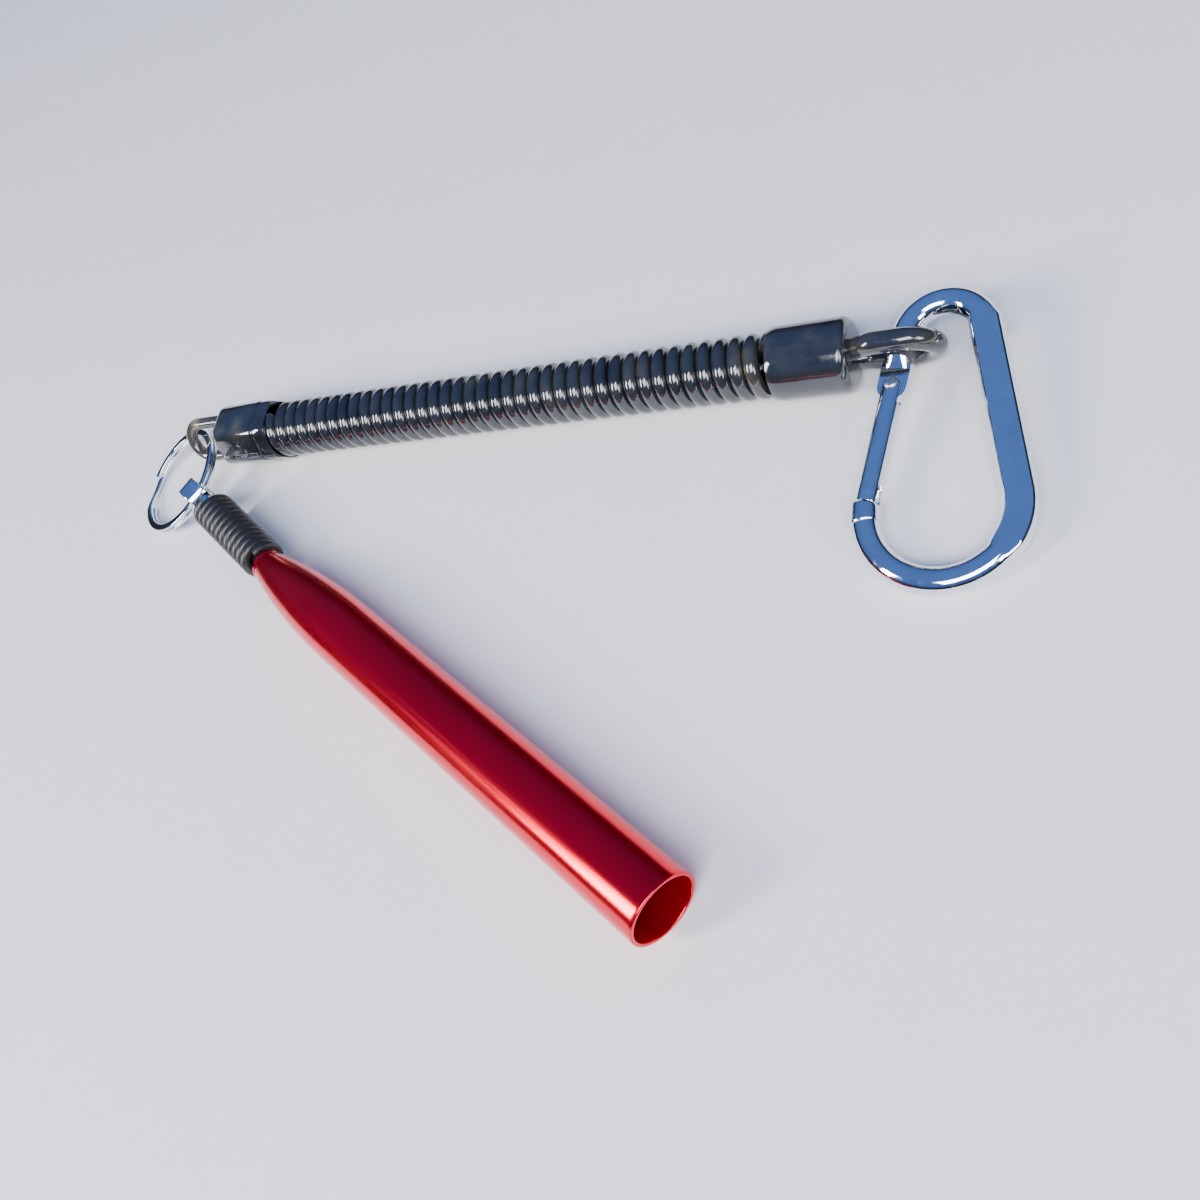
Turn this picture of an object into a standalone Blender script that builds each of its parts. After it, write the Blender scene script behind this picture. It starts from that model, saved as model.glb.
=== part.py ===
"""Rescue tube on a coiled safety lanyard.

A red metal tube with a bullet shaped neck hangs by a screw eye on a split ring. The ring hangs in the
moulded loop of a coiled urethane lanyard, whose other loop goes round the bar of a D-shaped carabiner.

Metres, +Z up. The object lies on the plane Z = 0, its origin is the bottom centre of its box, and the
lanyard runs along +X, from the ring to the carabiner.
"""

from math import acos, atan2, cos, pi, radians, sin, sqrt, tan

import bmesh
import bpy
from mathutils import Matrix, Vector

MM = 0.001
GAP = 0.3 * MM  # between faces that touch

# Lanyard, along +X
LANYARD_Y = 48.7 * MM
LANYARD_Z = 7.3 * MM
COIL_START_X = -61.7 * MM
COIL_END_X = 61.5 * MM
COIL_DIAMETER = 12.9 * MM
LOWER_BOOT_START_X = -78.6 * MM
LOWER_BOOT_FLATS = 14.0 * MM
LOWER_BOOT_BORE = 11.8 * MM
UPPER_BOOT_END_X = 76.6 * MM
UPPER_BOOT_DIAMETER = 14.2 * MM
UPPER_BOOT_BORE = 11.6 * MM
BOOT_END_WALL = 2.4 * MM
CRIMP_LENGTH = 6.0 * MM
CRIMP_WALL = 0.8 * MM

# Upper loop, round the carabiner's bar
UPPER_LOOP_CORD = 4.1 * MM
UPPER_LOOP_HALF_WIDTH = 5.35 * MM
UPPER_LOOP_TIP_X = 93.3 * MM
UPPER_LOOP_ROLL = radians(21)
UPPER_LEGS_AT_FACE = 3.2 * MM
UPPER_LEGS_IN_CRIMP = 2.3 * MM

# Lower loop, for the ring
LOWER_LOOP_CORD = 2.8 * MM
LOWER_LOOP_HALF_WIDTH = 4.3 * MM
LOWER_LOOP_TIP_X = -93.4 * MM
LOWER_LOOP_ROLL = radians(55)
LOWER_LEGS_IN_CRIMP = 1.8 * MM

# Carabiner: two end arcs of the bar's centre line, joined by straight sides
BAR_DIAMETER = 5.0 * MM
WIDE_CENTRE = Vector((93.2, 17.1, 0.0)) * MM
WIDE_RADIUS = 12.8 * MM
NARROW_RADIUS = 7.1 * MM
NARROW_OFFSET = Vector((-0.5, 32.9)) * MM
SPINE_HALF_WIDTH = 2.95 * MM
SPINE_HALF_HEIGHT = 1.95 * MM
SPINE_START_ANGLE = radians(32)  # on the narrow arc
SPINE_END_ANGLE = radians(-30)  # on the wide arc
SPINE_LEAD = 2.2 * MM
PIVOT_FROM_ARC = 10.3 * MM
TONGUE_HALF_WIDTH = 2.9 * MM
TONGUE_HALF_HEIGHT = 1.1 * MM
TONGUE_LEAD = 2.0 * MM
COLLAR_DIAMETER = 5.5 * MM
COLLAR_LENGTH = 3.6 * MM

# Gate, from its pivot
GATE_DIAMETER = 4.3 * MM
GATE_TAIL = 2.1 * MM
GATE_LENGTH = 22.25 * MM
NOSE_DISTANCE = 22.6 * MM
FORK_HALF_SLOT = 1.4 * MM
FORK_DEPTH = 3.5 * MM
GATE_BORE = 2.5 * MM
GATE_BORE_END = 14.0 * MM
RIVET_DIAMETER = 1.7 * MM
RIVET_HEAD_DIAMETER = 2.3 * MM
RIVET_HEAD_HEIGHT = 0.5 * MM
HOOK_HALF_WIDTH = 1.5 * MM
HOOK_NECK_HALF = 0.5 * MM
HOOK_HEAD_HALF = 1.0 * MM
HOOK_HEAD_START = 19.8 * MM
HOOK_HEAD_END = 20.9 * MM

# Split ring: two flat turns
RING_CENTRE = Vector((-95.4, 39.3, 4.4)) * MM
RING_RADIUS = 13.1 * MM
RING_RISE = Vector((0.25, 0.05))  # height gained per length along X and Y
RING_WIRE_WIDTH = 1.8 * MM
RING_WIRE_HEIGHT = 0.95 * MM
RING_TURN_GAP = 0.08 * MM

# Tube assembly
EYE_CENTRE = Vector((-83.6, 32.6, 7.2)) * MM
EYE_ANGLE = radians(-33.7)  # of the eye, its shank and the neck winding
EYE_HOLE = 5.7 * MM
EYE_BAND = 1.35 * MM
EYE_WIDTH = 4.8 * MM
SHANK_DIAMETER = 2.4 * MM
SHANK_END = 49.0 * MM
WRAP_START = 6.8 * MM
WRAP_CORD = 2.42 * MM
WRAP_TURNS = 12
WRAP_DIAMETER = 9.9 * MM
CORE_DIAMETER = 4.6 * MM
TUBE_START = Vector((-54.9, 13.1, 7.2)) * MM
TUBE_ANGLE = radians(-31.2)
TUBE_DIAMETER = 14.3 * MM
TUBE_LENGTH = 128.8 * MM
TUBE_WALL = 0.75 * MM
NECK_LIP = 3.2 * MM
NECK_LENGTH = 36.0 * MM
NECK_TIP_RADIUS = 3.16 * MM
NECK_POWER = 2.19
PLUG_FLANGE_RADIUS = 3.8 * MM
PLUG_RADIUS = 3.0 * MM
PLUG_LENGTH = 6.4 * MM
PLUG_HOLE = 3.6 * MM
NUT_FLATS = 4.6 * MM

SIDES = 20  # round the main sections


# ---------------------------------------------------------------- helpers
def clear_scene():
    for old in list(bpy.data.objects):
        bpy.data.objects.remove(old, do_unlink=True)


def paint(name, colour, metallic, roughness):
    """A plain Principled material."""
    material = bpy.data.materials.new(name)
    material.use_nodes = True
    shader = material.node_tree.nodes["Principled BSDF"]
    shader.inputs["Base Color"].default_value = (*colour, 1.0)
    shader.inputs["Metallic"].default_value = metallic
    shader.inputs["Roughness"].default_value = roughness
    return material


def frame_at(origin, x_axis, z_axis):
    """Matrix whose X runs along x_axis and whose Z is as near z_axis as it can be."""
    x = Vector(x_axis).normalized()
    y = Vector(z_axis).cross(x).normalized()
    z = x.cross(y)
    turn = Matrix((x, y, z)).transposed().to_4x4()
    return Matrix.Translation(Vector(origin)) @ turn


def new_object(name, shape, matrix, material=None):
    """An object from a bmesh, placed by a matrix."""
    bmesh.ops.remove_doubles(shape, verts=shape.verts, dist=1e-7)
    bmesh.ops.recalc_face_normals(shape, faces=shape.faces)
    mesh = bpy.data.meshes.new(name)
    shape.to_mesh(mesh)
    shape.free()
    mesh.shade_smooth()
    mesh.set_sharp_from_angle(angle=radians(35))
    thing = bpy.data.objects.new(name, mesh)
    bpy.context.collection.objects.link(thing)
    thing.matrix_world = matrix
    if material is not None:
        mesh.materials.append(material)
    return thing


def joint_empty(name, position):
    """The empty that a moving body's pieces hang from, on its joint's axis."""
    empty = bpy.data.objects.new(name, None)
    empty.empty_display_size = 5 * MM
    empty.location = position
    bpy.context.collection.objects.link(empty)
    return empty


def hang(empty, pieces):
    """Parents pieces to an empty and leaves them where they are."""
    bpy.context.view_layer.update()
    for piece in pieces:
        piece.parent = empty
        piece.matrix_parent_inverse = empty.matrix_world.inverted()


def combine(target, tool, operation):
    """Cuts target with tool, or joins tool to it. The tool stays as a hidden guide."""
    tool.hide_render = True
    tool.display_type = "WIRE"
    step = target.modifiers.new(tool.name, "BOOLEAN")
    step.operation = operation
    step.solver = "EXACT"
    step.object = tool


def skin(rings, closed=False):
    """A bmesh over a list of rings of points, capped at its ends unless closed."""
    shape = bmesh.new()
    loops = [[shape.verts.new(point) for point in ring] for ring in rings]
    count = len(loops[0])
    pairs = list(zip(loops, loops[1:]))
    if closed:
        pairs.append((loops[-1], loops[0]))
    for first, second in pairs:
        for i in range(count):
            j = (i + 1) % count
            shape.faces.new((first[i], first[j], second[j], second[i]))
    if not closed:
        shape.faces.new(loops[0])
        shape.faces.new(loops[-1][::-1])
    return shape


def turned(profile, sides=SIDES):
    """A solid turned round the X axis from (x, radius) points, closed on itself or on the axis."""
    rings = []
    for i in range(sides):
        angle = 2 * pi * i / sides
        rings.append([Vector((x, r * cos(angle), r * sin(angle))) for x, r in profile])
    return skin(rings, closed=True)


def rod(start, end, radius, sides=SIDES):
    """A solid cylinder along X."""
    rings = []
    for x in (start, end):
        ring = []
        for i in range(sides):
            angle = 2 * pi * i / sides
            ring.append(Vector((x, radius * cos(angle), radius * sin(angle))))
        rings.append(ring)
    return skin(rings)


def block(low, high):
    """A box between two corners."""
    shape = bmesh.new()
    size = Vector(high) - Vector(low)
    middle = (Vector(high) + Vector(low)) / 2
    scale = Matrix.Diagonal((*size, 1.0))
    bmesh.ops.create_cube(shape, size=1.0, matrix=Matrix.Translation(middle) @ scale)
    return shape


def prism(outline, low, high):
    """An outline in the YZ plane, pushed out along X."""
    rings = [[Vector((x, y, z)) for y, z in outline] for x in (low, high)]
    return skin(rings)


def tee(head_start, head_end, neck_end, head_half, neck_half, half_width):
    """A T outline in the XZ plane, pushed out along Y."""
    outline = [(head_start, -head_half), (head_end, -head_half), (head_end, -neck_half), (neck_end, -neck_half),
               (neck_end, neck_half), (head_end, neck_half), (head_end, head_half), (head_start, head_half)]
    rings = [[Vector((x, y, z)) for x, z in outline] for y in (-half_width, half_width)]
    return skin(rings)


def tube_along(path, radius, sides):
    """A round cord along points that lie in one plane."""
    normal = None
    for i in range(1, len(path) - 1):
        normal = (path[i] - path[i - 1]).cross(path[i + 1] - path[i])
        if normal.length > 1e-12:
            break
    normal.normalize()
    rings = []
    for i, point in enumerate(path):
        before = path[max(i - 1, 0)]
        after = path[min(i + 1, len(path) - 1)]
        side = (after - before).normalized().cross(normal)
        ring = []
        for k in range(sides):
            angle = 2 * pi * k / sides
            ring.append(point + radius * (cos(angle) * side + sin(angle) * normal))
        rings.append(ring)
    return skin(rings)


def smooth_step(t):
    t = min(max(t, 0.0), 1.0)
    return t * t * (3 - 2 * t)


# ---------------------------------------------------------------- carabiner
def carabiner_layout():
    """The centre line's tangent points, in the carabiner's own plane."""
    distance = NARROW_OFFSET.length
    lean = atan2(NARROW_OFFSET.y, NARROW_OFFSET.x)
    spread = acos((WIDE_RADIUS - NARROW_RADIUS) / distance)
    layout = {}
    for name, angle in (("gate", lean + spread), ("spine", lean - spread)):
        out = Vector((cos(angle), sin(angle)))
        layout[name + "_angle"] = angle
        layout[name + "_wide"] = out * WIDE_RADIUS
        layout[name + "_narrow"] = NARROW_OFFSET + out * NARROW_RADIUS
    along = (layout["gate_wide"] - layout["gate_narrow"]).normalized()
    layout["gate_direction"] = along
    layout["pivot"] = layout["gate_narrow"] + along * PIVOT_FROM_ARC
    return layout


def carabiner_tilt():
    """The wide end lies on the ground and the bar in the loop is at the lanyard's height."""
    rise = LANYARD_Z - BAR_DIAMETER / 2
    return atan2(rise, WIDE_RADIUS + NARROW_OFFSET.y)


def carabiner_matrix():
    tilt = carabiner_tilt()
    height = BAR_DIAMETER / 2 + WIDE_RADIUS * sin(tilt)
    centre = Vector((WIDE_CENTRE.x, WIDE_CENTRE.y, height))
    return Matrix.Translation(centre) @ Matrix.Rotation(tilt, 4, "X")


def bar_section(point, heading, half_width, half_height):
    """A round section of half_width, pressed flat at half_height above and below."""
    side = Vector((-heading.y, heading.x, 0.0))
    ring = []
    for i in range(SIDES):
        angle = 2 * pi * (i + 0.5) / SIDES
        up = max(-half_height, min(half_height, half_width * sin(angle)))
        ring.append(Vector((*point, 0.0)) + half_width * cos(angle) * side + Vector((0, 0, up)))
    return ring


def arc_points(centre, radius, start, end, steps):
    """Points and headings along an arc, clockwise when end is less than start."""
    turn = 1 if end > start else -1
    found = []
    for i in range(steps + 1):
        angle = start + (end - start) * i / steps
        out = Vector((cos(angle), sin(angle)))
        heading = Vector((-out.y, out.x)) * turn
        found.append((centre + out * radius, heading))
    return found


def frame_stations(layout):
    """(point, heading, half width, half height) from the pivot tongue round to the nose."""
    bar = BAR_DIAMETER / 2
    up = -layout["gate_direction"]
    pivot = layout["pivot"]
    stations = []
    for share in (0.97, 0.86, 0.7, 0.45, 0.0):
        half = TONGUE_HALF_WIDTH * sqrt(1 - share * share)
        stations.append((pivot - up * TONGUE_HALF_WIDTH * share, up, half, TONGUE_HALF_HEIGHT))
    lead_start = TONGUE_HALF_WIDTH + 0.5 * MM
    stations.append((pivot + up * lead_start, up, TONGUE_HALF_WIDTH, TONGUE_HALF_HEIGHT))
    stations.append((pivot + up * (lead_start + TONGUE_LEAD), up, bar, bar))
    narrow_start = layout["gate_angle"]
    centre = NARROW_OFFSET
    for point, heading in arc_points(centre, NARROW_RADIUS, narrow_start, SPINE_START_ANGLE, 16):
        stations.append((point, heading, bar, bar))
    flat_from = SPINE_START_ANGLE - SPINE_LEAD / NARROW_RADIUS
    spine_angle = layout["spine_angle"]
    for point, heading in arc_points(centre, NARROW_RADIUS, flat_from, spine_angle, 2):
        stations.append((point, heading, SPINE_HALF_WIDTH, SPINE_HALF_HEIGHT))
    wide = Vector((0.0, 0.0))
    for point, heading in arc_points(wide, WIDE_RADIUS, spine_angle, SPINE_END_ANGLE, 5):
        stations.append((point, heading, SPINE_HALF_WIDTH, SPINE_HALF_HEIGHT))
    round_from = SPINE_END_ANGLE - SPINE_LEAD / WIDE_RADIUS
    extra = (NOSE_DISTANCE - (layout["gate_wide"] - pivot).length) / WIDE_RADIUS
    nose_top = layout["gate_angle"] - 2 * pi + extra
    collar_low = nose_top + COLLAR_LENGTH / WIDE_RADIUS
    for point, heading in arc_points(wide, WIDE_RADIUS, round_from, collar_low, 20):
        stations.append((point, heading, bar, bar))
    collar = COLLAR_DIAMETER / 2
    chamfer = 0.35 * MM / WIDE_RADIUS
    steps = (
        (collar_low - 0.02 * MM / WIDE_RADIUS, collar - 0.25 * MM),
        (collar_low - chamfer, collar),
        (nose_top + chamfer, collar),
        (nose_top, collar - 0.3 * MM),
    )
    for angle, half in steps:
        out = Vector((cos(angle), sin(angle)))
        stations.append((out * WIDE_RADIUS, Vector((out.y, -out.x)), half, half))
    return stations


def make_frame(layout, matrix, gate_matrix, material):
    rings = [bar_section(*station) for station in frame_stations(layout)]
    frame = new_object("carabiner_frame", skin(rings), matrix, material)
    hole = rod(-4.1 * MM, 4.3 * MM, RIVET_DIAMETER / 2 + GAP, 18)
    upright = gate_matrix @ Matrix.Rotation(pi / 2, 4, "Y")
    combine(frame, new_object("cutter_tongue_hole", hole, upright), "DIFFERENCE")
    hook = tee(HOOK_HEAD_START, HOOK_HEAD_END, NOSE_DISTANCE + MM, HOOK_HEAD_HALF, HOOK_NECK_HALF, HOOK_HALF_WIDTH)
    combine(frame, new_object("guide_hook", hook, gate_matrix), "UNION")
    return frame


def make_gate(matrix, material):
    radius = GATE_DIAMETER / 2
    tail = []
    for share in (0.98, 0.85, 0.6, 0.3, 0.0):
        tail.append((-GATE_TAIL * share, radius * sqrt(1 - share * share)))
    end = [(GATE_LENGTH - 0.2 * MM, radius), (GATE_LENGTH, radius - 0.2 * MM)]
    rings = []
    for x, r in tail + end:
        rings.append([Vector((x, r * cos(2 * pi * i / SIDES), r * sin(2 * pi * i / SIDES))) for i in range(SIDES)])
    gate = new_object("carabiner_gate", skin(rings), matrix, material)
    far = 4 * MM
    pocket_start = HOOK_HEAD_START - 0.8 * MM
    pocket_end = HOOK_HEAD_END + 0.35 * MM
    cutters = (
        ("cutter_fork", block((-far, -far, -FORK_HALF_SLOT), (FORK_DEPTH, far, FORK_HALF_SLOT))),
        ("cutter_gate_bore", rod(FORK_DEPTH - MM, GATE_BORE_END, GATE_BORE / 2, 16)),
        ("cutter_hook_slot", tee(pocket_start, pocket_end, GATE_LENGTH + far, 1.3 * MM, 0.8 * MM, far)),
    )
    for name, shape in cutters:
        combine(gate, new_object(name, shape, matrix), "DIFFERENCE")
    hole = rod(-far, far, RIVET_DIAMETER / 2 + GAP, 16)
    upright = matrix @ Matrix.Rotation(pi / 2, 4, "Y")
    combine(gate, new_object("cutter_rivet_hole", hole, upright), "DIFFERENCE")
    return gate


def make_rivet(matrix, material):
    """A pin through the fork, with a low dome at each end."""
    seat = GATE_DIAMETER / 2 + 0.05 * MM
    profile = [(seat, RIVET_DIAMETER / 2), (seat, RIVET_HEAD_DIAMETER / 2)]
    for angle in (30, 55, 80):
        height = RIVET_HEAD_HEIGHT * sin(radians(angle))
        profile.append((seat + height, RIVET_HEAD_DIAMETER / 2 * cos(radians(angle))))
    mirrored = [(-x, r) for x, r in profile[::-1]]
    rings = []
    for x, r in mirrored + profile:
        rings.append([Vector((x, r * cos(2 * pi * i / 16), r * sin(2 * pi * i / 16))) for i in range(16)])
    upright = matrix @ Matrix.Rotation(pi / 2, 4, "Y")
    return new_object("gate_rivet", skin(rings), upright, material)


def make_gate_spring(matrix, material):
    """A compression spring in the gate's bore."""
    turns, steps, start, end = 8, 12, 5.6 * MM, GATE_BORE_END - GAP
    coil_radius, wire = 0.72 * MM, 0.17 * MM
    rings = []
    for i in range(turns * steps + 1):
        angle = 2 * pi * i / steps
        x = start + wire + (end - start - 2 * wire) * i / (turns * steps)
        out = Vector((0, cos(angle), sin(angle)))
        ring = []
        for k in range(5):
            around = 2 * pi * k / 5
            ring.append(Vector((x, 0, 0)) + out * (coil_radius + wire * cos(around)) + Vector((wire * sin(around), 0, 0)))
        rings.append(ring)
    return new_object("gate_spring", skin(rings), matrix, material)


def make_plunger(matrix, material):
    """The pusher that the spring holds against the tongue."""
    head, stem = 0.95 * MM, 0.42 * MM
    start = TONGUE_HALF_WIDTH + GAP
    profile = [(start, head - 0.3 * MM), (start + 0.3 * MM, head), (start + 1.9 * MM, head)]
    profile += [(start + 1.9 * MM, stem), (start + 5.5 * MM, stem)]
    rings = []
    for x, r in profile:
        rings.append([Vector((x, r * cos(2 * pi * i / 12), r * sin(2 * pi * i / 12))) for i in range(12)])
    return new_object("gate_plunger", skin(rings), matrix, material)


# ---------------------------------------------------------------- lanyard
def loop_path(arc_radius, straight, face, half_at_face, half_in_crimp, settle, crimp_end):
    """Half of a cord loop as (distance from the tip's arc centre, half width), tip first."""
    path = []
    for i in range(9):
        angle = pi / 2 * i / 8
        path.append((arc_radius * cos(angle), arc_radius * sin(angle)))
    path.append((-straight, arc_radius))
    for i in range(1, 6):
        t = i / 5
        path.append((-straight - (face - straight) * t, arc_radius + (half_at_face - arc_radius) * smooth_step(t)))
    for i in range(1, 6):
        t = i / 5
        inside = face + settle * t
        path.append((-inside, half_at_face + (half_in_crimp - half_at_face) * smooth_step(t)))
    path.append((-crimp_end, half_in_crimp))
    return path


def make_loop(name, matrix, half_path, cord, material):
    """A cord loop in the local XZ plane, its tip towards +X."""
    upper = [Vector((x, 0, z)) for x, z in half_path]
    lower = [Vector((x, 0, -z)) for x, z in half_path[1:]]
    return new_object(name, tube_along(upper[::-1] + lower, cord / 2, 10), matrix, material)


def oval(half_width, radius, steps=8):
    """A slot outline in YZ, long along Z."""
    outline = []
    for side in (1, -1):
        for i in range(steps + 1):
            angle = pi * i / steps
            outline.append((radius * cos(angle) * side, (half_width + radius * sin(angle)) * side))
    return outline


def make_crimp(name, matrix, start, half_in_crimp, cord, material):
    """The pressed sleeve that holds both legs of a loop."""
    inner = cord / 2 + GAP
    crimp = new_object(name, prism(oval(half_in_crimp, inner + CRIMP_WALL), start, start + CRIMP_LENGTH), matrix, material)
    hole = prism(oval(half_in_crimp, inner), start - MM, start + CRIMP_LENGTH + MM)
    combine(crimp, new_object("cutter_" + name, hole, matrix), "DIFFERENCE")
    return crimp


def leg_holes(name, boot, matrix, half_width, cord, low, high):
    """Two holes through a boot's end wall for the legs of its loop."""
    for side, offset in (("a", half_width), ("b", -half_width)):
        hole = rod(low, high, cord / 2 + GAP, 12)
        place = matrix @ Matrix.Translation((0, 0, offset))
        combine(boot, new_object(f"cutter_{name}_{side}", hole, place), "DIFFERENCE")


def make_upper_end(loop_matrix, material, metal):
    """Boot, loop and crimp at the carabiner. Local X runs towards the carabiner."""
    arc_x = UPPER_LOOP_TIP_X - UPPER_LOOP_CORD / 2 - UPPER_LOOP_HALF_WIDTH
    face = arc_x - UPPER_BOOT_END_X
    crimp_end = face + 13.4 * MM
    path = loop_path(UPPER_LOOP_HALF_WIDTH, 4.3 * MM, face, UPPER_LEGS_AT_FACE,
                     UPPER_LEGS_IN_CRIMP, 6.5 * MM, crimp_end)
    centred = loop_matrix @ Matrix.Translation((arc_x, 0, 0))
    loop = make_loop("upper_loop", centred, path, UPPER_LOOP_CORD, material)
    crimp = make_crimp("upper_crimp", centred, -crimp_end + 0.6 * MM, UPPER_LEGS_IN_CRIMP, UPPER_LOOP_CORD, metal)
    radius = UPPER_BOOT_DIAMETER / 2
    start = COIL_END_X + GAP
    bore_end = UPPER_BOOT_END_X - BOOT_END_WALL
    profile = [
        (start, UPPER_BOOT_BORE / 2), (start, radius - 0.9 * MM), (start + 0.8 * MM, radius - 0.4 * MM),
        (start + 2.2 * MM, radius), (UPPER_BOOT_END_X - 1.1 * MM, radius),
        (UPPER_BOOT_END_X - 0.3 * MM, radius - 0.4 * MM), (UPPER_BOOT_END_X, radius - 1.2 * MM),
    ]
    outer = []
    for x, r in profile[1:]:
        outer.append([Vector((x, r * cos(2 * pi * i / SIDES), r * sin(2 * pi * i / SIDES))) for i in range(SIDES)])
    boot = new_object("upper_boot", skin(outer), loop_matrix, material)
    bore = rod(start - MM, bore_end, UPPER_BOOT_BORE / 2)
    combine(boot, new_object("cutter_upper_bore", bore, loop_matrix), "DIFFERENCE")
    legs = UPPER_LEGS_AT_FACE
    leg_holes("upper_leg", boot, loop_matrix, legs, UPPER_LOOP_CORD, bore_end - MM, UPPER_BOOT_END_X + MM)
    return [loop, crimp, boot]


def make_lower_end(loop_matrix, material, metal):
    """Boot, loop and crimp at the ring. Local X runs away from the coil."""
    tip = -LOWER_LOOP_TIP_X
    arc_x = tip - LOWER_LOOP_CORD / 2 - LOWER_LOOP_HALF_WIDTH
    face = arc_x + LOWER_BOOT_START_X
    crimp_end = face + 14.0 * MM
    path = loop_path(LOWER_LOOP_HALF_WIDTH, 1.5 * MM, face + BOOT_END_WALL, LOWER_LOOP_HALF_WIDTH,
                     LOWER_LEGS_IN_CRIMP, 4.8 * MM, crimp_end)
    centred = loop_matrix @ Matrix.Translation((arc_x, 0, 0))
    loop = make_loop("lower_loop", centred, path, LOWER_LOOP_CORD, material)
    crimp = make_crimp("lower_crimp", centred, -crimp_end + 0.6 * MM, LOWER_LEGS_IN_CRIMP, LOWER_LOOP_CORD, metal)
    level = Matrix.Translation((0, LANYARD_Y, LANYARD_Z)) @ Matrix.Rotation(pi, 4, "Z")
    apothem = LOWER_BOOT_FLATS / 2
    rings = []
    start = -(COIL_START_X - GAP)
    end = -LOWER_BOOT_START_X
    for x, inset in ((start, 0.9), (start + 0.9 * MM, 0.0), (end - 1.0 * MM, 0.0), (end, 1.0)):
        reach = (apothem - inset * MM) / cos(pi / 6)
        rings.append([Vector((x, reach * cos(pi / 3 * i), reach * sin(pi / 3 * i))) for i in range(6)])
    boot = new_object("lower_boot", skin(rings), level, material)
    bore_end = end - BOOT_END_WALL
    bore = rod(start - MM, bore_end, LOWER_BOOT_BORE / 2)
    combine(boot, new_object("cutter_lower_bore", bore, level), "DIFFERENCE")
    leg_holes("lower_leg", boot, loop_matrix, LOWER_LOOP_HALF_WIDTH, LOWER_LOOP_CORD, bore_end - MM, end + MM)
    return [loop, crimp, boot]


def make_coil(material):
    """The coiled cord's outer shape, as one fat tube with its hollow middle."""
    radius = COIL_DIAMETER / 2
    core = radius - 3.2 * MM
    profile = [(COIL_START_X, core), (COIL_START_X, radius), (COIL_END_X, radius), (COIL_END_X, core)]
    place = Matrix.Translation((0, LANYARD_Y, LANYARD_Z))
    return new_object("coil", turned(profile, 24), place, material)


# ---------------------------------------------------------------- ring and tube
def ring_normal():
    return Vector((-RING_RISE.x, -RING_RISE.y, 1.0)).normalized()


def make_ring(material):
    """Two flat turns of wire on each other, with one short crossing from the lower to the upper."""
    steps, crossing_start, crossing_end, last = 44, 40, 44, 83
    pitch = RING_WIRE_HEIGHT + RING_TURN_GAP
    half_w, half_h = RING_WIRE_WIDTH / 2, RING_WIRE_HEIGHT / 2
    corner = 0.3 * MM
    section = []
    for a, b in ((1, 1), (-1, 1), (-1, -1), (1, -1)):
        first = (a * (half_w - corner), b * half_h)
        second = (a * half_w, b * (half_h - corner))
        section += [first, second] if a * b < 0 else [second, first]
    rings = []
    for i in range(last + 1):
        angle = 2 * pi * i / steps
        lift = pitch * (smooth_step((i - crossing_start) / (crossing_end - crossing_start)) - 0.5)
        out = Vector((cos(angle), sin(angle), 0))
        rings.append([out * (RING_RADIUS + w) + Vector((0, 0, lift + h)) for w, h in section])
    away = Vector((-0.9, -0.43, 0.0))
    flat = away - ring_normal() * away.dot(ring_normal())
    place = frame_at(RING_CENTRE, flat, ring_normal())
    return new_object("split_ring", skin(rings), place, material)


def make_eye(matrix, material):
    """A wide banded eye on a screwed shank."""
    outer = EYE_HOLE / 2 + EYE_BAND
    half = EYE_WIDTH / 2
    rings = []
    for y, r in ((-half, outer - 0.3 * MM), (-half + 0.3 * MM, outer), (half - 0.3 * MM, outer), (half, outer - 0.3 * MM)):
        rings.append([Vector((r * cos(2 * pi * i / 28), y, r * sin(2 * pi * i / 28))) for i in range(28)])
    eye = new_object("screw_eye", skin(rings), matrix, material)
    shank = SHANK_DIAMETER / 2
    profile = ((outer - 0.8 * MM, 2.0 * MM), (outer + 0.5 * MM, 1.9 * MM), (WRAP_START + 0.4 * MM, 1.7 * MM),
               (WRAP_START + 0.8 * MM, shank), (SHANK_END - 0.3 * MM, shank), (SHANK_END, shank - 0.3 * MM))
    stem = []
    for x, r in profile:
        stem.append([Vector((x, r * cos(2 * pi * i / 14), r * sin(2 * pi * i / 14))) for i in range(14)])
    combine(eye, new_object("guide_eye_stem", skin(stem), matrix), "UNION")
    hole = rod(-8 * MM, 8 * MM, EYE_HOLE / 2, 24)
    across = matrix @ Matrix.Rotation(pi / 2, 4, "Z")
    combine(eye, new_object("cutter_eye_hole", hole, across), "DIFFERENCE")
    return eye


def make_wrap(matrix, material):
    """The close winding on the neck, one rib for each turn."""
    crest = WRAP_DIAMETER / 2
    profile = []
    cord = WRAP_CORD / 2
    for turn in range(WRAP_TURNS):
        centre = WRAP_START + WRAP_CORD * (turn + 0.5)
        for angle in (165, 135, 90, 45, 15):
            a = radians(angle)
            profile.append((centre + cord * cos(a), crest - cord + cord * sin(a)))
    bore = CORE_DIAMETER / 2 + GAP
    last = WRAP_START + WRAP_CORD * WRAP_TURNS
    profile.append((last - 0.05 * MM, bore))
    profile.append((WRAP_START + 0.05 * MM, bore))
    return new_object("neck_wrap", turned(profile, 16), matrix, material)


def make_core(matrix, material):
    """The sleeve under the winding."""
    radius = CORE_DIAMETER / 2
    bore = SHANK_DIAMETER / 2 + GAP
    start = WRAP_START + 1.2 * MM
    end = WRAP_START + WRAP_CORD * WRAP_TURNS - 0.4 * MM
    profile = [(start, bore), (start, radius), (end, radius), (end, bore)]
    return new_object("neck_core", turned(profile, 16), matrix, material)


def neck_radius(x):
    """Outer radius of the tube at a distance from its start."""
    full = TUBE_DIAMETER / 2
    left = max(0.0, 1 - x / NECK_LENGTH)
    return full - (full - NECK_TIP_RADIUS) * left**NECK_POWER


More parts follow.
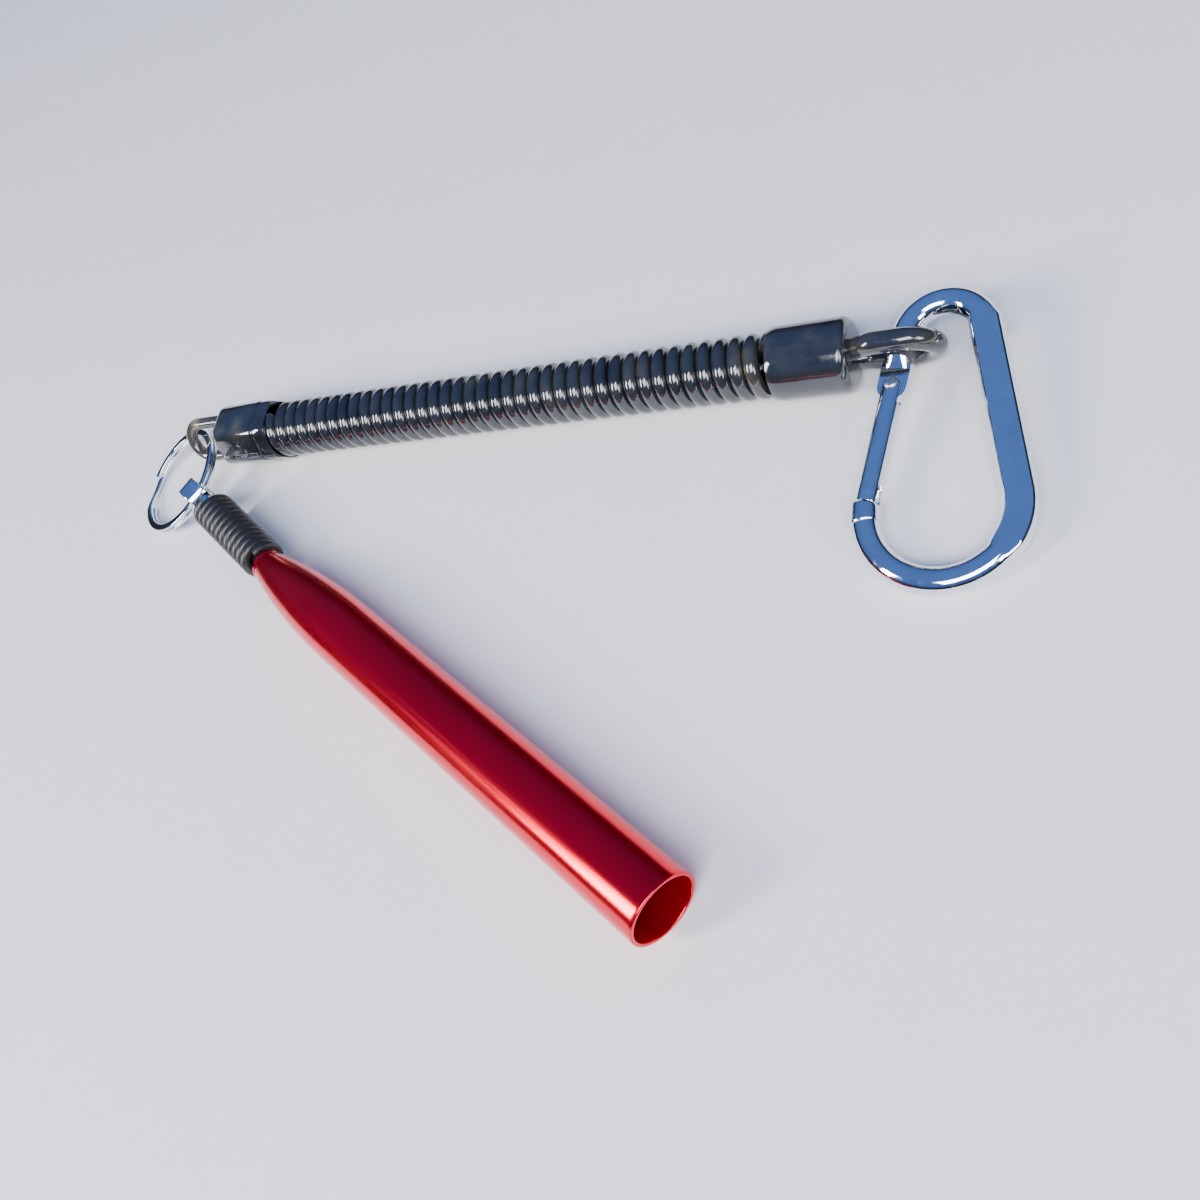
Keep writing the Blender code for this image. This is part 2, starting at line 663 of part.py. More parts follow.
def make_tube(matrix, material):
    """The open tube with its drawn-in neck."""
    stations = [NECK_LIP + (NECK_LENGTH - NECK_LIP) * i / 12 for i in range(13)] + [TUBE_LENGTH]
    outer = [(x, neck_radius(x)) for x in stations]
    inner = [(x, r - TUBE_WALL) for x, r in outer[::-1]]
    return new_object("rescue_tube", turned(outer + inner, 32), matrix, material)


def make_plug(matrix, material):
    """The collar and plug that close the neck round the shank."""
    hole = PLUG_HOLE / 2
    flange = 1.7 * MM
    lip = NECK_LIP - GAP
    profile = [(flange, hole), (flange, PLUG_FLANGE_RADIUS), (lip, PLUG_FLANGE_RADIUS), (lip, PLUG_RADIUS - 0.3 * MM),
               (lip + PLUG_LENGTH, PLUG_RADIUS - 0.3 * MM), (lip + PLUG_LENGTH, hole)]
    return new_object("neck_plug", turned(profile, 20), matrix, material)


def make_washer(matrix, start, material):
    hole = SHANK_DIAMETER / 2 + GAP
    profile = [(start, hole), (start, 2.7 * MM), (start + 0.5 * MM, 2.7 * MM), (start + 0.5 * MM, hole)]
    return new_object("eye_washer", turned(profile, 16), matrix, material)


def make_nut(matrix, start, material):
    reach = NUT_FLATS / 2 / cos(pi / 6)
    outline = [(reach * cos(pi / 3 * i), reach * sin(pi / 3 * i)) for i in range(6)]
    nut = new_object("eye_nut", prism(outline, start, start + 2.0 * MM), matrix, material)
    hole = rod(start - MM, start + 3 * MM, SHANK_DIAMETER / 2 + GAP / 2, 12)
    combine(nut, new_object("cutter_nut", hole, matrix), "DIFFERENCE")
    return nut


# ---------------------------------------------------------------- assembly
def main():
    clear_scene()
    polished = paint("polished_alloy", (0.75, 0.77, 0.80), 1.0, 0.12)
    chrome = paint("chromed_steel", (0.80, 0.82, 0.85), 1.0, 0.08)
    steel = paint("spring_steel", (0.55, 0.56, 0.58), 1.0, 0.3)
    smoky = paint("smoky_urethane", (0.02, 0.02, 0.025), 0.0, 0.15)
    cord = paint("black_winding", (0.015, 0.015, 0.017), 0.0, 0.45)
    red = paint("red_anodised", (0.60, 0.01, 0.03), 1.0, 0.12)

    layout = carabiner_layout()
    body = carabiner_matrix()
    turn = body.to_3x3()
    pivot = body @ Vector((*layout["pivot"], 0.0))
    gate_heading = turn @ Vector((*layout["gate_direction"], 0.0))
    face_normal = turn @ Vector((0, 0, 1))
    gate_matrix = frame_at(pivot, gate_heading, face_normal)

    frame = make_frame(layout, body, gate_matrix, polished)
    rivet = make_rivet(gate_matrix, steel)
    hang(joint_empty("carabiner_base", body.translation), [frame, rivet])
    gate_pieces = [make_gate(gate_matrix, polished), make_gate_spring(gate_matrix, steel), make_plunger(gate_matrix, steel)]
    hang(joint_empty("gate_pivot", pivot), gate_pieces)

    roll = UPPER_LOOP_ROLL
    upper = frame_at((0, LANYARD_Y, LANYARD_Z), (1, 0, 0), (0, -sin(roll), cos(roll)))
    bar = body @ Vector((*(layout["gate_narrow"] + layout["gate_direction"] * 2.3 * MM), 0.0))
    upper_pieces = make_upper_end(upper, smoky, steel)
    upper_pieces.append(make_coil(smoky))
    hang(joint_empty("loop_on_bar", bar), upper_pieces)

    roll = LOWER_LOOP_ROLL
    lower = frame_at((0, LANYARD_Y, LANYARD_Z), (-1, 0, 0), (0, cos(roll), sin(roll)))
    hang(joint_empty("coil_end", (COIL_START_X, LANYARD_Y, LANYARD_Z)), make_lower_end(lower, smoky, steel))

    loop_centre = Vector((LOWER_LOOP_TIP_X + LOWER_LOOP_CORD / 2 + LOWER_LOOP_HALF_WIDTH, LANYARD_Y, LANYARD_Z))
    hang(joint_empty("ring_in_loop", loop_centre), [make_ring(chrome)])

    eye = frame_at(EYE_CENTRE, (cos(EYE_ANGLE), sin(EYE_ANGLE), 0), (0, 0, 1))
    tube = frame_at(TUBE_START, (cos(TUBE_ANGLE), sin(TUBE_ANGLE), 0), (0, 0, 1))
    plug_end = WRAP_START + WRAP_CORD * WRAP_TURNS + NECK_LIP + PLUG_LENGTH
    tube_pieces = [
        make_eye(eye, chrome),
        make_wrap(eye, cord),
        make_core(eye, cord),
        make_plug(tube, red),
        make_tube(tube, red),
        make_washer(eye, plug_end, steel),
        make_nut(eye, plug_end + 0.8 * MM, steel),
    ]
    hang(joint_empty("eye_on_ring", EYE_CENTRE), tube_pieces)


main()
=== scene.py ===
"""Looks for the tethered red tube: carabiner, coiled lanyard, split ring, screw eye and tube."""

from math import acos, atan2, cos, pi, radians, sin

import bmesh
import bpy
from mathutils import Matrix, Vector
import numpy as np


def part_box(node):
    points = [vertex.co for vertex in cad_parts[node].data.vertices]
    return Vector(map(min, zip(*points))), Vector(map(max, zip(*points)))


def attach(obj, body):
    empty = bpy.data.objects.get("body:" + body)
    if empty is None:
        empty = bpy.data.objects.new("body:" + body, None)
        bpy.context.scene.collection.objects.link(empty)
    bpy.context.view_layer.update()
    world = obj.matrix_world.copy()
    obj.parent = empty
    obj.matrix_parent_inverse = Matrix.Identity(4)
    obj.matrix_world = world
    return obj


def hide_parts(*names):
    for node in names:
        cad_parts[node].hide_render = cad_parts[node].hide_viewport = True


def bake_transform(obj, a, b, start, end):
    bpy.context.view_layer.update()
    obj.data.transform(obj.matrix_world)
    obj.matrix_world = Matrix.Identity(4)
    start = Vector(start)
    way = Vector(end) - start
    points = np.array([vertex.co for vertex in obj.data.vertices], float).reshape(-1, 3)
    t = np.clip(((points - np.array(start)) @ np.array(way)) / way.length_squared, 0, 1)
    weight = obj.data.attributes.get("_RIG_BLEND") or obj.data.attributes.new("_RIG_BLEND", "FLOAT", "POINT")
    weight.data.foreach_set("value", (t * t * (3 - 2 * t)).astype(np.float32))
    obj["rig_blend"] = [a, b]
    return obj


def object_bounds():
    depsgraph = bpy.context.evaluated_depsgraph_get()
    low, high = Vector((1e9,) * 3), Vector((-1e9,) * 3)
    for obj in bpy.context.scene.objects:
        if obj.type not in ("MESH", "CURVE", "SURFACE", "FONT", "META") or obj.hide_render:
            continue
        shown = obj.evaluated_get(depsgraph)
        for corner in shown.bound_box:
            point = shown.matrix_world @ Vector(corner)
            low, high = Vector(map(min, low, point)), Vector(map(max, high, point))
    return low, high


bl_info = {
    "name": "Tethered Tube",
    "version": (1, 0, 0),
    "blender": (4, 5, 0),
    "location": "3D View > Sidebar > Tether",
    "description": "Builds the pieces of a red tube on a coiled lanyard with a carabiner",
    "category": "Object",
}

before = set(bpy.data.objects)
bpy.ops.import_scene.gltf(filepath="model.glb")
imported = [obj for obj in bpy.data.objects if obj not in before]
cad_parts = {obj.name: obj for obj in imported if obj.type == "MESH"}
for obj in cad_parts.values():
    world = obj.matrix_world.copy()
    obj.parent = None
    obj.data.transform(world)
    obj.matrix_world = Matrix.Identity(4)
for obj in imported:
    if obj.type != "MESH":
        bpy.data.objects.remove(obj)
CAD_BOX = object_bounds()

MM = 0.001

# Lanyard
LANYARD_Y = 48.7 * MM
LANYARD_Z = 7.3 * MM
COIL_START_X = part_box("coil")[0].x
COIL_END_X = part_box("coil")[1].x
UPPER_BOOT_END_X = 76.6 * MM
LOWER_BOOT_START_X = -78.6 * MM
END_WALL = 2.4 * MM  # of both boots
UPPER_LOOP_ROLL = radians(21)
UPPER_LOOP_HALF = 5.35 * MM
UPPER_LOOP_TIP_X = 93.3 * MM
LOWER_LOOP_ROLL = radians(55)
LOWER_LOOP_HALF = 4.3 * MM
LOWER_LOOP_TIP = 93.4 * MM

# Carabiner's centre line, in its own plane
BAR_RADIUS = 2.5 * MM
WIDE_CENTRE = Vector((93.2, 17.1, 0.0)) * MM
WIDE_RADIUS = 12.8 * MM
NARROW_RADIUS = 7.1 * MM
NARROW_OFFSET = Vector((-0.5, 32.9)) * MM
PIVOT_FROM_ARC = 10.3 * MM
GATE_LENGTH = 22.25 * MM
NOSE_DISTANCE = 22.6 * MM

# Ring and tube
RING_CENTRE = Vector((-95.4, 39.3, 4.4)) * MM
RING_NORMAL = Vector((-0.25, -0.05, 1.0)).normalized()
EYE_CENTRE = Vector((-83.6, 32.6, 7.2)) * MM
EYE_ANGLE = radians(-33.7)
WRAP_START = 6.8 * MM
TUBE_START = Vector((-54.9, 13.1, 7.2)) * MM
TUBE_ANGLE = radians(-31.2)


# ---------------------------------------------------------------- settings
class CarabinerSettings(bpy.types.PropertyGroup):
    """Sizes and colours of the carabiner."""

    spine_width: bpy.props.FloatProperty(
        name="Spine width", description="Width of the pressed flat back", default=5.9 * MM, unit="LENGTH")
    spine_thickness: bpy.props.FloatProperty(
        name="Spine thickness", description="Thickness of the pressed flat back", default=3.9 * MM, unit="LENGTH")
    gate_diameter: bpy.props.FloatProperty(
        name="Gate diameter", description="Outer diameter of the gate", default=4.3 * MM, unit="LENGTH")
    metal: bpy.props.FloatVectorProperty(
        name="Metal", description="Colour of the polished alloy", default=(0.86, 0.88, 0.92), size=3, subtype="COLOR")


class LanyardSettings(bpy.types.PropertyGroup):
    """Sizes and colours of the coiled lanyard."""

    turns: bpy.props.IntProperty(name="Turns", description="Turns in the coil", default=39, min=4)
    strand: bpy.props.FloatProperty(
        name="Strand", description="Thickness of the coiled cord", default=3.1 * MM, unit="LENGTH")
    coil_diameter: bpy.props.FloatProperty(
        name="Coil diameter", description="Outer diameter of the coil", default=12.9 * MM, unit="LENGTH")
    upper_loop_cord: bpy.props.FloatProperty(
        name="Upper loop cord", description="Thickness of the loop on the bar", default=4.1 * MM, unit="LENGTH")
    lower_loop_cord: bpy.props.FloatProperty(
        name="Lower loop cord", description="Thickness of the ring's loop", default=2.8 * MM, unit="LENGTH")
    smoke: bpy.props.FloatVectorProperty(
        name="Smoke", description="Colour of the smoky urethane", default=(0.010, 0.011, 0.013), size=3,
        subtype="COLOR")


class RingSettings(bpy.types.PropertyGroup):
    """Sizes and colours of the split ring and the screw eye."""

    radius: bpy.props.FloatProperty(
        name="Ring radius", description="Radius at the middle of the wire", default=13.1 * MM, unit="LENGTH")
    wire: bpy.props.FloatProperty(
        name="Wire width", description="Width of the flat wire", default=1.8 * MM, unit="LENGTH")
    eye_hole: bpy.props.FloatProperty(
        name="Eye hole", description="Diameter of the hole in the eye", default=5.7 * MM, unit="LENGTH")
    chrome: bpy.props.FloatVectorProperty(
        name="Chrome", description="Colour of the chromed steel", default=(0.88, 0.89, 0.92), size=3, subtype="COLOR")


class TubeSettings(bpy.types.PropertyGroup):
    """Sizes and colours of the tube and its winding."""

    diameter: bpy.props.FloatProperty(
        name="Tube diameter", description="Outer diameter of the tube", default=14.3 * MM, unit="LENGTH")
    length: bpy.props.FloatProperty(
        name="Tube length", description="Length of the tube from neck to mouth", default=128.8 * MM, unit="LENGTH")
    wall: bpy.props.FloatProperty(
        name="Wall", description="Thickness of the tube's wall", default=0.75 * MM, unit="LENGTH")
    winding_cord: bpy.props.FloatProperty(
        name="Winding cord", description="Thickness of the cord on the neck", default=2.42 * MM, unit="LENGTH")
    winding_turns: bpy.props.IntProperty(name="Winding turns", description="Turns on the neck", default=12, min=2)
    red: bpy.props.FloatVectorProperty(
        name="Red", description="Colour of the anodised tube", default=(0.90, 0.006, 0.030), size=3, subtype="COLOR")


class StageSettings(bpy.types.PropertyGroup):
    """Floor and light."""

    floor: bpy.props.FloatVectorProperty(
        name="Floor", description="Colour of the floor", default=(0.92, 0.92, 0.92), size=3, subtype="COLOR")
    key_power: bpy.props.FloatProperty(
        name="Key light", description="Power of the key light", default=8.5, unit="POWER")
    sky: bpy.props.FloatVectorProperty(
        name="Sky", description="Colour of the light from above", default=(0.10, 0.22, 0.62), size=3, subtype="COLOR")


# ---------------------------------------------------------------- modelling helpers
def deselect():
    if bpy.context.object is not None and bpy.context.object.mode != "OBJECT":
        bpy.ops.object.mode_set(mode="OBJECT")
    bpy.ops.object.select_all(action="DESELECT")


def place_at(origin, x_axis, z_axis):
    """Matrix whose X runs along x_axis and whose Z is as near z_axis as it can be."""
    x = Vector(x_axis).normalized()
    y = Vector(z_axis).cross(x).normalized()
    turn = Matrix((x, y, x.cross(y))).transposed().to_4x4()
    return Matrix.Translation(Vector(origin)) @ turn


def set_ring(mesh, ring):
    """Moves the selected ring of an edit mesh to its points."""
    shape = bmesh.from_edit_mesh(mesh)
    order = shape.verts.layers.int["order"]
    for vert in shape.verts:
        if vert.select:
            vert.co = ring[vert[order]]
    bmesh.update_edit_mesh(mesh)


def drawn(name, rings, joined=False, sharp=35.0):
    """A skin drawn out of a circle, ring by ring; joined when the last ring meets the first."""
    deselect()
    bpy.ops.mesh.primitive_circle_add(vertices=len(rings[0]), radius=MM)
    piece = bpy.context.object
    piece.name = piece.data.name = name
    bpy.ops.object.mode_set(mode="EDIT")
    shape = bmesh.from_edit_mesh(piece.data)
    order = shape.verts.layers.int.new("order")
    for number, vert in enumerate(shape.verts):
        vert[order] = number
    bmesh.update_edit_mesh(piece.data)
    set_ring(piece.data, rings[0])
    for ring in rings[1:]:
        bpy.ops.mesh.extrude_region_move()
        set_ring(piece.data, ring)
    bpy.ops.mesh.select_all(action="SELECT")
    bpy.ops.mesh.remove_doubles(threshold=1e-6)
    if not joined:
        bpy.ops.mesh.fill_holes(sides=0)
    bpy.ops.mesh.select_all(action="SELECT")
    bpy.ops.mesh.normals_make_consistent(inside=False)
    bpy.ops.object.mode_set(mode="OBJECT")
    piece.data.attributes.remove(piece.data.attributes["order"])
    bpy.ops.object.shade_smooth_by_angle(angle=radians(sharp))
    return piece


def circle_ring(place, x, radius, sides):
    turn = 2 * pi / sides
    return [place @ Vector((x, radius * cos(turn * i), radius * sin(turn * i))) for i in range(sides)]


def turned(name, place, profile, sides=64, joined=False, sharp=35.0):
    """A piece turned round its own X axis from (x, radius) pairs."""
    return drawn(name, [circle_ring(place, x, r, sides) for x, r in profile], joined, sharp)


def rounded(profile, corner, steps=4):
    """Rounds the inner corners of an open (x, radius) profile."""
    points = [Vector(p) for p in profile]
    out = [points[0]]
    for before, here, after in zip(points, points[1:], points[2:]):
        back, ahead = before - here, after - here
        reach = min(corner, back.length * 0.45, ahead.length * 0.45)
        start, end = here + back.normalized() * reach, here + ahead.normalized() * reach
        for i in range(steps + 1):
            t = i / steps
            out.append(start.lerp(here, t).lerp(here.lerp(end, t), t))
    out.append(points[-1])
    return [tuple(p) for p in out]


def cord_rings(path, radius, sides=24):
    """Rings of a round cord along points that lie in one plane."""
    normal = Vector((0, 0, 0))
    for before, here, after in zip(path, path[1:], path[2:]):
        normal += (here - before).cross(after - here)
    normal.normalize()
    rings = []
    for i, point in enumerate(path):
        ahead = path[min(i + 1, len(path) - 1)] - path[max(i - 1, 0)]
        side = ahead.normalized().cross(normal)
        turn = 2 * pi / sides
        rings.append([point + radius * (cos(turn * k) * side + sin(turn * k) * normal) for k in range(sides)])
    return rings


def wound(name, place, start, pitch, turns, mean_radius, cord, sides=14, steps=32):
    """A cord wound round its own X axis, made by a screw from one circle."""
    deselect()
    bpy.ops.mesh.primitive_circle_add(vertices=sides, radius=cord / 2, rotation=(pi / 2, 0, 0))
    piece = bpy.context.object
    piece.name = piece.data.name = name
    bpy.ops.object.transform_apply(location=True, rotation=True, scale=True)
    bpy.ops.object.mode_set(mode="EDIT")
    bpy.ops.mesh.select_all(action="SELECT")
    bpy.ops.transform.translate(value=(start, 0, mean_radius))
    bpy.ops.object.mode_set(mode="OBJECT")
    screw = piece.modifiers.new("Winding", "SCREW")
    screw.axis = "X"
    screw.screw_offset = pitch
    screw.iterations = turns
    screw.steps = screw.render_steps = steps
    screw.use_merge_vertices = False
    screw.use_smooth_shade = True
    bpy.ops.object.modifier_apply(modifier=screw.name)
    bpy.ops.object.mode_set(mode="EDIT")
    bpy.ops.mesh.select_all(action="SELECT")
    bpy.ops.mesh.fill_holes(sides=0)
    bpy.ops.mesh.select_all(action="SELECT")
    bpy.ops.mesh.normals_make_consistent(inside=False)
    bpy.ops.object.mode_set(mode="OBJECT")
    piece.matrix_world = place
    bpy.ops.object.transform_apply(location=True, rotation=True, scale=True)
    bpy.ops.object.shade_smooth_by_angle(angle=radians(50))
    return piece


def soften(piece, width, segments=2, angle=35.0):
    """Rounds a piece's sharp edges."""
    deselect()
    bpy.context.view_layer.objects.active = piece
    piece.select_set(True)
    bevel = piece.modifiers.new("Softened edges", "BEVEL")
    bevel.width = width
    bevel.segments = segments
    bevel.limit_method = "ANGLE"
    bevel.angle_limit = radians(angle)
    bevel.use_clamp_overlap = True
    bpy.ops.object.modifier_apply(modifier=bevel.name)
    bpy.ops.object.shade_smooth_by_angle(angle=radians(40))


def cut(piece, tool):
    """Cuts tool out of piece and clears tool away."""
    deselect()
    bpy.context.view_layer.objects.active = piece
    piece.select_set(True)
    step = piece.modifiers.new("Cut", "BOOLEAN")
    step.operation = "DIFFERENCE"
    step.solver = "EXACT"
    step.object = tool
    bpy.ops.object.modifier_apply(modifier=step.name)
    bpy.data.objects.remove(tool, do_unlink=True)


def dress(piece, material, body, slot, *nodes):
    """Gives a piece its material and its body, and hides the nodes it stands for."""
    piece.data.materials.clear()
    piece.data.materials.append(material)
    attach(piece, body)
    if nodes:
        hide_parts(*nodes)


def paint_node(node, material):
    """A kept frame node gets a detailed material."""
    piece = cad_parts[node]
    piece.data.materials.clear()
    piece.data.materials.append(material)


# ---------------------------------------------------------------- materials
def blank(name):
    material = bpy.data.materials.new(name)
    material.use_nodes = True
    tree = material.node_tree
    return material, tree, tree.nodes["Principled BSDF"], tree.nodes.new("ShaderNodeTexCoord").outputs["Object"]


def noise(tree, vector, scale, detail=4.0, stretch=None):
    """A noise pattern, drawn out along an axis when stretch is given."""
    if stretch is not None:
        mapping = tree.nodes.new("ShaderNodeMapping")
        mapping.inputs["Scale"].default_value = stretch
        tree.links.new(vector, mapping.inputs["Vector"])
        vector = mapping.outputs["Vector"]
    pattern = tree.nodes.new("ShaderNodeTexNoise")
    pattern.inputs["Scale"].default_value = scale
    pattern.inputs["Detail"].default_value = detail
    tree.links.new(vector, pattern.inputs["Vector"])
    return pattern.outputs["Fac"]


def ramp(tree, factor, stops):
    """A colour ramp over a factor, from (place, colour) stops."""
    node = tree.nodes.new("ShaderNodeValToRGB")
    elements = node.color_ramp.elements
    for number, (position, colour) in enumerate(stops):
        stop = elements[number] if number < 2 else elements.new(position)
        stop.position = position
        stop.color = (*colour, 1.0)
    tree.links.new(factor, node.inputs["Fac"])
    return node.outputs["Color"]


def grey(value):
    return (value, value, value)


def bump(tree, shader, height, strength, distance):
    node = tree.nodes.new("ShaderNodeBump")
    node.inputs["Strength"].default_value = strength
    node.inputs["Distance"].default_value = distance
    tree.links.new(height, node.inputs["Height"])
    tree.links.new(node.outputs["Normal"], shader.inputs["Normal"])


def polished_metal(name, colour, smudge, scratch_axis, rough=(0.05, 0.16)):
    """Mirror polished metal with faint smudges, fine scratches and a soft orange peel."""
    material, tree, shader, place = blank(name)
    shader.inputs["Metallic"].default_value = 1.0
    cloud = noise(tree, place, 260.0, 3.0)
    worn = ramp(tree, cloud, ((0.35, colour), (0.75, tuple(c * smudge for c in colour))))
    tree.links.new(worn, shader.inputs["Base Color"])
    scratches = noise(tree, place, 900.0, 2.0, scratch_axis)
    marks = ramp(tree, scratches, ((0.45, grey(rough[0])), (0.8, grey(rough[1]))))
    tree.links.new(marks, shader.inputs["Roughness"])
    bump(tree, shader, noise(tree, place, 420.0, 2.0), 0.12, 0.00006)
    return material


def brushed_steel(name, colour):
    """Plain drawn steel for wire and small turned pieces."""
    material, tree, shader, place = blank(name)
    shader.inputs["Metallic"].default_value = 1.0
    cloud = noise(tree, place, 700.0, 4.0)
    tree.links.new(ramp(tree, cloud, ((0.3, colour), (0.8, tuple(c * 0.6 for c in colour)))),
                   shader.inputs["Base Color"])
    lines = noise(tree, place, 2500.0, 2.0, (1.0, 0.2, 0.2))
    tree.links.new(ramp(tree, lines, ((0.3, grey(0.22)), (0.8, grey(0.42)))), shader.inputs["Roughness"])
    bump(tree, shader, lines, 0.2, 0.00004)
    return material


def smoky_urethane(name, smoke, sunlit_glow, rough=(0.06, 0.22), ripple=0.25):
    """Glossy see-through black plastic: dark blue clouds, olive clouds of painted sunlight glowing through the
    plastic, specks and moulding ripples.
    """
    material, tree, shader, place = blank(name)
    cloud = noise(tree, place, 140.0, 5.0)
    # The last colour stop is painted sunlight: the olive and beige glow through the smoky plastic, put into the
    # colour as clouds.
    tree.links.new(ramp(tree, cloud, ((0.3, smoke), (0.55, tuple(c * 2.2 for c in smoke)), (0.78, sunlit_glow))),
                   shader.inputs["Base Color"])
    shader.inputs["IOR"].default_value = 1.52
    shader.inputs["Coat Weight"].default_value = 0.6
    shader.inputs["Coat Roughness"].default_value = 0.04
    shader.inputs["Specular IOR Level"].default_value = 0.75
    wear = noise(tree, place, 1100.0, 3.0)
    tree.links.new(ramp(tree, wear, ((0.35, grey(rough[0])), (0.8, grey(rough[1])))), shader.inputs["Roughness"])
    bump(tree, shader, noise(tree, place, 330.0, 3.0), ripple, 0.00012)
    return material


def satin_winding(name):
    """Satin black cord with a fine grain and dusty highs."""
    material, tree, shader, place = blank(name)
    grain = noise(tree, place, 1800.0, 5.0)
    tree.links.new(ramp(tree, grain, ((0.35, (0.008, 0.008, 0.009)), (0.8, (0.035, 0.033, 0.030)))),
                   shader.inputs["Base Color"])
    tree.links.new(ramp(tree, grain, ((0.3, grey(0.28)), (0.8, grey(0.5)))), shader.inputs["Roughness"])
    shader.inputs["Specular IOR Level"].default_value = 0.7
    bump(tree, shader, grain, 0.3, 0.00008)
    return material


def anodised_red(name, red, axis_turn):
    """Mirror red anodising with drawing lines along the tube, faint smudges and small specks."""
    material, tree, shader, place = blank(name)
    shader.inputs["Metallic"].default_value = 0.88
    turn = tree.nodes.new("ShaderNodeMapping")
    turn.inputs["Rotation"].default_value = (0.0, 0.0, -axis_turn)
    tree.links.new(place, turn.inputs["Vector"])
    along = turn.outputs["Vector"]
    cloud = noise(tree, along, 90.0, 4.0, (0.25, 1.0, 1.0))
    deep = tuple(c * 0.8 for c in red)
    tree.links.new(ramp(tree, cloud, ((0.35, red), (0.75, deep))), shader.inputs["Base Color"])
    lines = noise(tree, along, 1500.0, 3.0, (0.03, 1.0, 1.0))
    tree.links.new(ramp(tree, lines, ((0.35, grey(0.16)), (0.8, grey(0.25)))), shader.inputs["Roughness"])
    shader.inputs["Coat Weight"].default_value = 0.15
    shader.inputs["Coat Roughness"].default_value = 0.06
    bump(tree, shader, lines, 0.06, 0.00003)
    return material


# ---------------------------------------------------------------- carabiner shapes
def carabiner_layout():
    """The bar's tangent points and angles, in the carabiner's own plane."""
    lean = atan2(NARROW_OFFSET.y, NARROW_OFFSET.x)
    spread = acos((WIDE_RADIUS - NARROW_RADIUS) / NARROW_OFFSET.length)
    layout = {}
    for name, angle in (("gate", lean + spread), ("spine", lean - spread)):
        out = Vector((cos(angle), sin(angle)))
        layout[name + "_angle"] = angle
        layout[name + "_wide"] = out * WIDE_RADIUS
        layout[name + "_narrow"] = NARROW_OFFSET + out * NARROW_RADIUS
    layout["down"] = (layout["gate_wide"] - layout["gate_narrow"]).normalized()
    layout["pivot"] = layout["gate_narrow"] + layout["down"] * PIVOT_FROM_ARC
    return layout


def carabiner_tilt():
    return atan2(LANYARD_Z - BAR_RADIUS, WIDE_RADIUS + NARROW_OFFSET.y)


def carabiner_place():
    tilt = carabiner_tilt()
    centre = Vector((WIDE_CENTRE.x, WIDE_CENTRE.y, BAR_RADIUS + WIDE_RADIUS * sin(tilt)))
    return Matrix.Translation(centre) @ Matrix.Rotation(tilt, 4, "X")


def gate_place():
    layout, body = carabiner_layout(), carabiner_place()
    turn = body.to_3x3()
    heading = turn @ Vector((*layout["down"], 0.0))
    return place_at(body @ Vector((*layout["pivot"], 0.0)), heading, turn @ Vector((0, 0, 1)))


def bar_ring(body, point, heading, half_width, half_height, sides=36):
    """A round section pressed flat above and below."""
    side = Vector((-heading.y, heading.x, 0.0))
    ring = []
    for i in range(sides):
        angle = 2 * pi * (i + 0.5) / sides
        up = max(-half_height, min(half_height, half_width * sin(angle)))
        ring.append(body @ (Vector((*point, up)) + half_width * cos(angle) * side))
    return ring


def arc(centre, radius, start, end, steps):
    """Points and clockwise headings along an arc."""
    for i in range(steps + 1):
        angle = start + (end - start) * i / steps
        out = Vector((cos(angle), sin(angle)))
        yield centre + out * radius, Vector((out.y, -out.x))


def bar_stations(settings):
    """(point, heading, half width, half height) from the pivot tongue round to the nose."""
    layout = carabiner_layout()
    up, pivot = -layout["down"], layout["pivot"]
    tongue, thin, bar = 2.9 * MM, 1.1 * MM, BAR_RADIUS
    stations = []
    for angle in (80, 66, 52, 38, 24, 12, 0):
        reach = sin(radians(angle))
        stations.append((pivot - up * tongue * reach, up, tongue * cos(radians(angle)), thin))
    lead = tongue + 0.5 * MM
    stations.append((pivot + up * lead, up, tongue, thin))
    stations.append((pivot + up * (lead + 0.08 * MM), up, tongue * 0.995, thin * 1.05))
    stations.append((pivot + up * (lead + 1.92 * MM), up, bar, bar * 0.97))
    stations.append((pivot + up * (lead + 2.0 * MM), up, bar, bar))
    wide, narrow = Vector((0.0, 0.0)), NARROW_OFFSET
    flat_w, flat_h = settings.spine_width / 2, settings.spine_thickness / 2
    spine, top, low = layout["spine_angle"], radians(32), radians(-30)
    for point, heading in arc(narrow, NARROW_RADIUS, layout["gate_angle"], top, 44):
        stations.append((point, heading, bar, bar))
    top_flat = top - 2.2 * MM / NARROW_RADIUS
    for point, heading in arc(narrow, NARROW_RADIUS, top_flat, spine, 6):
        stations.append((point, heading, flat_w, flat_h))
    for point, heading in arc(wide, WIDE_RADIUS, spine, low, 16):
        stations.append((point, heading, flat_w, flat_h))
    gate_end = (layout["gate_wide"] - pivot).length
    nose = layout["gate_angle"] - 2 * pi + (NOSE_DISTANCE - gate_end) / WIDE_RADIUS
    collar = nose + 3.6 * MM / WIDE_RADIUS
    for point, heading in arc(wide, WIDE_RADIUS, low - 2.2 * MM / WIDE_RADIUS, collar, 60):
        stations.append((point, heading, bar, bar))
    full = 2.75 * MM
    for distance, half in ((0.02, full - 0.25 * MM), (0.12, full - 0.09 * MM), (0.3, full), (3.2, full),
                           (3.42, full - 0.08 * MM), (3.6, full - 0.3 * MM)):
        angle = collar - distance * MM / WIDE_RADIUS
        out = Vector((cos(angle), sin(angle)))
        stations.append((out * WIDE_RADIUS, Vector((out.y, -out.x)), half, half))
    return stations


def boxed(name, place, low, high):
    """A cutting block in a piece's own frame."""
    deselect()
    bpy.ops.mesh.primitive_cube_add(size=1.0)
    tool = bpy.context.object
    tool.name = name
    size, middle = Vector(high) - Vector(low), (Vector(high) + Vector(low)) / 2
    tool.matrix_world = place @ Matrix.Translation(middle) @ Matrix.Diagonal((*size, 1.0))
    bpy.ops.object.transform_apply(location=True, rotation=True, scale=True)
    return tool


